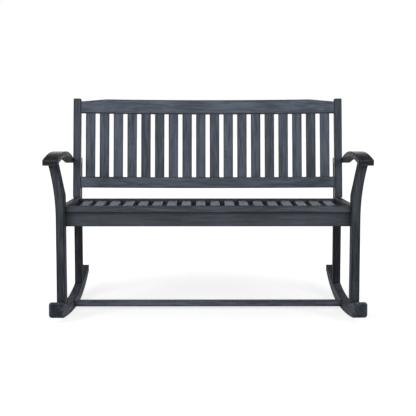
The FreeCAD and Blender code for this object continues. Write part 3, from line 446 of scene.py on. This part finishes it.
def stained_wood(name, looks):
    board = {**PLAIN_BOARD, **looks}
    finish = Finish(bpy.data.materials.new(name))
    place = place_on_bench(finish, board["lean"])
    luck = slat_luck(finish, place) if board["slatted"] else board["luck"]
    place = moved_by_luck(finish, place, luck)
    marks = wood_pattern(finish, place, board["grain"])
    marks["edge"] = near_edge(finish, board["edge_width"])
    marks["end_grain"] = on_end_grain(finish, board["grain"], board["lean"])
    sockets = {
        "Base Color": stain_shade_and_highlight(finish, place, marks, luck, board),
        "Roughness": dullness(finish, marks, board),
        "Normal": bump(finish, wood_height(marks), board["relief"], RELIEF_DEPTH),
        "IOR": COAT_IOR,
        "Specular IOR Level": board["shine"],
    }
    return finish.surface(finish.put("ShaderNodeBsdfPrincipled", {}, sockets))


print("a plain board:", PLAIN_BOARD)

# %% [markdown]
# ## One stain, twelve sorts of board
#
# All the boards carry the same stain, but the photograph shows each sort of board in another light, and
# that light isn't known. So the tone, tint and shine below are set one sort of board at a time: the
# broad rails palest, the arms and legs darkest, the back a little bluer than the legs. The arms get a
# smooth coat and low relief, as hands would polish them. The legs, the rockers and the nosing in front
# of the slats are dull, because the photograph shows hardly any reflection on them.

# %% The stains
BLUER = (0.92, 1.01, 1.10)
BLUISH = (0.97, 1.00, 1.04)
WARM = (1.03, 1.00, 0.94)
WARMER = (1.06, 1.00, 0.88)
# The tones below are partly each board's own and partly painted light and shade: the rear legs are
# darker for the shade at the back of the bench, and the back posts for the shade under the arms.
BOARDS = {
    "back_slats": dict(grain="Z", tone=1.00, tint=BLUISH, lean=LEAN, slatted=True, edge_width=0.009,
                       edge_darkening=1.0),
    "seat_slats": dict(grain="Y", tone=1.20, tint=BLUER, slatted=True, dullness=0.37),
    "back_rails": dict(grain="X", tone=1.24, tint=BLUISH, lean=LEAN, figure=0.6, edge_width=0.008,
                       edge_darkening=1.0),
    "back_posts": dict(grain="Z", tone=0.63, tint=BLUISH, lean=LEAN, luck=3.6, figure=0.8,
                       edge_width=0.008, shine=0.35),
    "seat_frame": dict(grain="X", tone=0.79, tint=WARM, figure=0.35, shine=0.25),
    "nosing": dict(grain="X", tone=0.92, tint=WARM, figure=0.7, dullness=0.62, shine=0.3),
    "side_rails": dict(grain="Y", tone=0.60, shine=0.3),
    "front_legs": dict(grain="Z", tone=0.68, tint=WARMER, luck=0.2, figure=0.9, edge_width=0.009,
                       dullness=0.70, shine=0.12),
    "rear_legs": dict(grain="Z", tone=0.42, tint=WARMER, luck=3.1, dullness=0.70, shine=0.12),
    "arms": dict(grain="Y", tone=0.15, tint=BLUER, edge_width=0.009, edge_darkening=0.2, end_soak=0.2,
                 highlighted=0.90, dullness=0.27, shine=0.22, relief=0.06),
    "rockers": dict(grain="Y", tone=1.12, tint=WARM, edge_width=0.008, edge_darkening=0.8, end_soak=0.45,
                    dullness=0.68, shine=0.12),
    "stretcher": dict(grain="X", tone=1.18, tint=WARM, luck=4.4, figure=0.7, shine=0.3),
}
FINISHES = {sort: stained_wood("stain_" + sort, looks) for sort, looks in BOARDS.items()}
print("stains:", ", ".join(FINISHES))

# %% [markdown]
# ## The bolts
#
# The flat bolt heads sit on the outer faces of the rockers and on the rear faces of the rear legs. They
# are steel with a black coating, which could be one plain dark colour, but a coating is never so even.
# So a fine noise roughens it, and where it has worn off the rims some bare metal shines through, found
# by the same Bevel trick as the edges of the boards.

# %% Coated steel
RIM_WIDTH = 0.0008
RIM_STEP = (0.80, 0.99)
WORN_STEP = (0.45, 0.6)
BARE_SHARE = 0.6
COAT_DULLNESS, GRIT_DULLNESS = 0.38, 0.2
GRIT_RELIEF, GRIT_DEPTH = 0.15, 0.0002
BLACK_COAT = rgb(0.020, 0.020, 0.022)
GREY_COAT = rgb(0.045, 0.046, 0.050)
BARE_STEEL = rgb(0.30, 0.30, 0.31)


def coated_steel():
    finish = Finish(bpy.data.materials.new("coated_steel"))
    grit = noise(finish, place_on_bench(finish), scale=900.0, detail=3.0)
    rim = near_edge(finish, RIM_WIDTH, RIM_STEP) * grit.smooth(*WORN_STEP)
    coat = finish.mix(grit, BLACK_COAT, GREY_COAT)
    sockets = {
        "Base Color": finish.mix(BARE_SHARE * rim, coat, BARE_STEEL),
        "Metallic": rim,
        "Roughness": COAT_DULLNESS + GRIT_DULLNESS * grit,
        "Normal": bump(finish, grit, GRIT_RELIEF, GRIT_DEPTH),
    }
    return finish.surface(finish.put("ShaderNodeBsdfPrincipled", {}, sockets))


FINISHES["bolts"] = coated_steel()
print("steel:", FINISHES["bolts"].name)

# %% [markdown]
# ## Every piece gets its finish
#
# The names of the solids say what they are, so a short list of words finds the finish for each. A finish
# could also be picked for each of the 57 solids by hand, but the list can't forget one. The mesh stays
# untouched: only the material slots change.

# %% Dress the solids
# The first of these words that a name holds decides. A name with none of them is part of the seat frame.
SORT_BY_WORD = {
    "bolts": "bolts",
    "seat_front_rail": "nosing",
    "rocker_stretcher": "stretcher",
    "back_slat": "back_slats",
    "seat_slat": "seat_slats",
    "side_rail": "side_rails",
    "front_leg": "front_legs",
    "rear_leg": "rear_legs",
    "back_post": "back_posts",
    "_arm": "arms",
    "_rocker": "rockers",
    "back_": "back_rails",
}


def sort_of(node):
    return next((sort for word, sort in SORT_BY_WORD.items() if word in node), "seat_frame")


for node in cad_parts:
    for slot in bpy.data.objects[node].material_slots:
        slot.material = FINISHES[sort_of(node)]
print("dressed:", len(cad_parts))

# %% [markdown]
# ## A white floor
#
# The bench stands in a white studio on a plain sheet. A white floor could be had from brighter lamps,
# but they would bleach the bench as well. So the sheet has two faces. Where it only passes light on, it
# is pale paper, which brightens the underside of the seat and the arms. Where the camera looks at it, or
# a reflection shows it, it's paper and a glow, which add up to white wherever nothing shades it, so only
# a faint shadow is left near the rockers. Farther out the glow alone is white, and the sheet melts into
# the backdrop without a horizon.

# %% Floor finish
GLOW_CENTRE = (0.0, 0.10, 0.0)
GLOW_FADE = (0.40, 1.45)


def grey(level):
    return rgb(level, level, level)


PALE_PAPER, FAINT_PAPER = grey(0.62), grey(0.48)
NEAR_GLOW, WHITE = grey(0.75), grey(1.0)


def studio_floor():
    finish = Finish(bpy.data.materials.new("studio_floor"))
    paper = finish.put("ShaderNodeBsdfDiffuse", {}, {"Color": PALE_PAPER})
    faint = finish.put("ShaderNodeBsdfDiffuse", {}, {"Color": FAINT_PAPER})
    place = finish.put("ShaderNodeTexCoord", {}, {}, "Object")
    from_bench = finish.vector("SUBTRACT", place, GLOW_CENTRE)
    away = finish.vector("LENGTH", from_bench, output="Value").smooth(*GLOW_FADE)
    colour = finish.mix(away, NEAR_GLOW, WHITE)
    glow = finish.put("ShaderNodeEmission", {}, {"Color": colour, "Strength": 1.0})
    seen = finish.put("ShaderNodeAddShader", {}, {0: faint, 1: glow})
    camera_ray, glossy_ray, clear_ray = (
        finish.put("ShaderNodeLightPath", {}, {}, ray)
        for ray in ("Is Camera Ray", "Is Glossy Ray", "Is Transmission Ray"))
    looked_at = (camera_ray + glossy_ray + clear_ray).at_most(1.0)
    return finish.surface(finish.blend(looked_at, paper, seen))


FLOOR_FINISH = studio_floor()
print("floor finish:", FLOOR_FINISH.name)

# %% [markdown]
# ## The sheet itself
#
# The sheet is a single flat face. A real backdrop is a roll of paper that curves up behind the bench,
# but then it would end somewhere in the views from the side. A flat one that reaches far enough looks
# the same from all round.

# %% Floor
FLOOR_REACH = 40.0
CORNERS = ((-1, -1), (1, -1), (1, 1), (-1, 1))


def stand(name, data):
    """Put something new in the scene, at the origin."""
    thing = bpy.data.objects.new(name, data)
    bpy.context.scene.collection.objects.link(thing)
    return thing


floor_mesh = bpy.data.meshes.new("floor")
floor_mesh.from_pydata([(x * FLOOR_REACH, y * FLOOR_REACH, 0.0) for x, y in CORNERS], [], [(0, 1, 2, 3)])
floor_mesh.materials.append(FLOOR_FINISH)
floor = stand("floor", floor_mesh)
print("floor reaches", FLOOR_REACH, "m")

# %% [markdown]
# ## The sky
#
# The camera looks nearly level, so a satin board that lies flat mirrors whatever stands low behind the
# bench: the slats a strip nine degrees up, the crests of the arms one lower still. An evenly bright sky
# would make them all equally pale. So the sky is bright in one low band all round and dark above, which
# makes pale slats and dark arm fronts at once. The camera itself sees the sky as pure white.

# %% Sky
# The sine of the height above the horizon, and the share of the full brightness there.
SKY_BANDS = [(0.0, 0.15), (0.03, 0.25), (0.07, 1.00), (0.16, 1.00), (0.23, 0.04), (1.0, 0.10)]
SKY_STRENGTH = 1.55


def studio_sky():
    """A sky whose brightness goes by its height, and that the camera sees as pure white."""
    sky = Finish(bpy.data.worlds.new("studio"))
    way = sky.put("ShaderNodeTexCoord", {}, {}, "Generated")
    stops = [(sine, grey(share)) for sine, share in SKY_BANDS]
    bands = sky.put("ShaderNodeValToRGB", {"stops": stops}, {"Fac": sky.along("Z", way)}, "Color")
    lit = sky.put("ShaderNodeBackground", {}, {"Color": bands, "Strength": SKY_STRENGTH})
    plain = sky.put("ShaderNodeBackground", {}, {"Color": WHITE, "Strength": 1.0})
    camera_ray = sky.put("ShaderNodeLightPath", {}, {}, "Is Camera Ray")
    return sky.surface(sky.blend(camera_ray, lit, plain), "ShaderNodeOutputWorld")


bpy.context.scene.world = studio_sky()
print("sky:", bpy.context.scene.world.name, "with", len(SKY_BANDS), "stops of brightness")

# %% [markdown]
# ## The lamps
#
# The shadows in the photograph are soft and faint. A sun or a small lamp would draw them hard, so all
# the lamps here are large. One stands on either side in front, too far aside for the leaning back to
# mirror, and a wide one hangs overhead for the eased corners. Together with the sky they are about as
# bright as plain daylight, so a colour comes out about as it's written.


# %% Lamps
def soft_lamp(name, place, aim, size, power):
    data = bpy.data.lights.new(name, "AREA")
    data.shape = "SQUARE"
    data.size = size
    data.energy = power
    lamp = stand(name, data)
    lamp.location = place
    way = [end - start for start, end in zip(place, aim)]
    across = math.hypot(way[0], way[1])
    lamp.rotation_euler = (math.atan2(across, -way[2]), 0.0, math.atan2(-way[0], way[1]))


SEAT_MIDDLE = (0.0, 0.0, 0.45)
SEAT_FRONT = (0.0, -0.29, 0.45)
soft_lamp("lamp_left", place=(-2.9, -3.5, 2.4), aim=SEAT_MIDDLE, size=1.6, power=95.0)
soft_lamp("lamp_right", place=(2.9, -3.5, 2.4), aim=SEAT_MIDDLE, size=1.6, power=70.0)
soft_lamp("lamp_top", place=(0.0, -0.3, 4.6), aim=SEAT_FRONT, size=2.4, power=32.0)
print("lamps:", [lamp.name for lamp in bpy.data.lights])

# %% [markdown]
# ## The camera
#
# The photograph was taken from about four metres in front of the bench, a little to the left of its
# middle, from 0.79 m above the floor and tipped down by about five degrees. The lens is long, so the
# legs hardly converge. These values weren't guessed one by one: they are the ones with which the
# bench's outline falls on that of the photograph, whose width gives the lens its scale.

# %% Camera
SENSOR_WIDTH = 36.0
FOCAL_PIXELS, PICTURE_PIXELS = 930.0, 416.0
CAMERA_PLACE = (-0.0147, -3.9925, 0.792)
TIPPED_DOWN, TURNED = 5.3, -0.22

camera_data = bpy.data.cameras.new("camera")
camera_data.sensor_width = SENSOR_WIDTH
camera_data.lens = SENSOR_WIDTH * FOCAL_PIXELS / PICTURE_PIXELS
camera = stand("camera", camera_data)
camera.location = CAMERA_PLACE
camera.rotation_euler = (math.radians(90.0 - TIPPED_DOWN), 0.0, math.radians(TURNED))
bpy.context.scene.camera = camera
bpy.context.scene.view_settings.view_transform = "Standard"
print("lens:", round(camera_data.lens, 2), "mm")

# %% [markdown] Finishes never change a size.
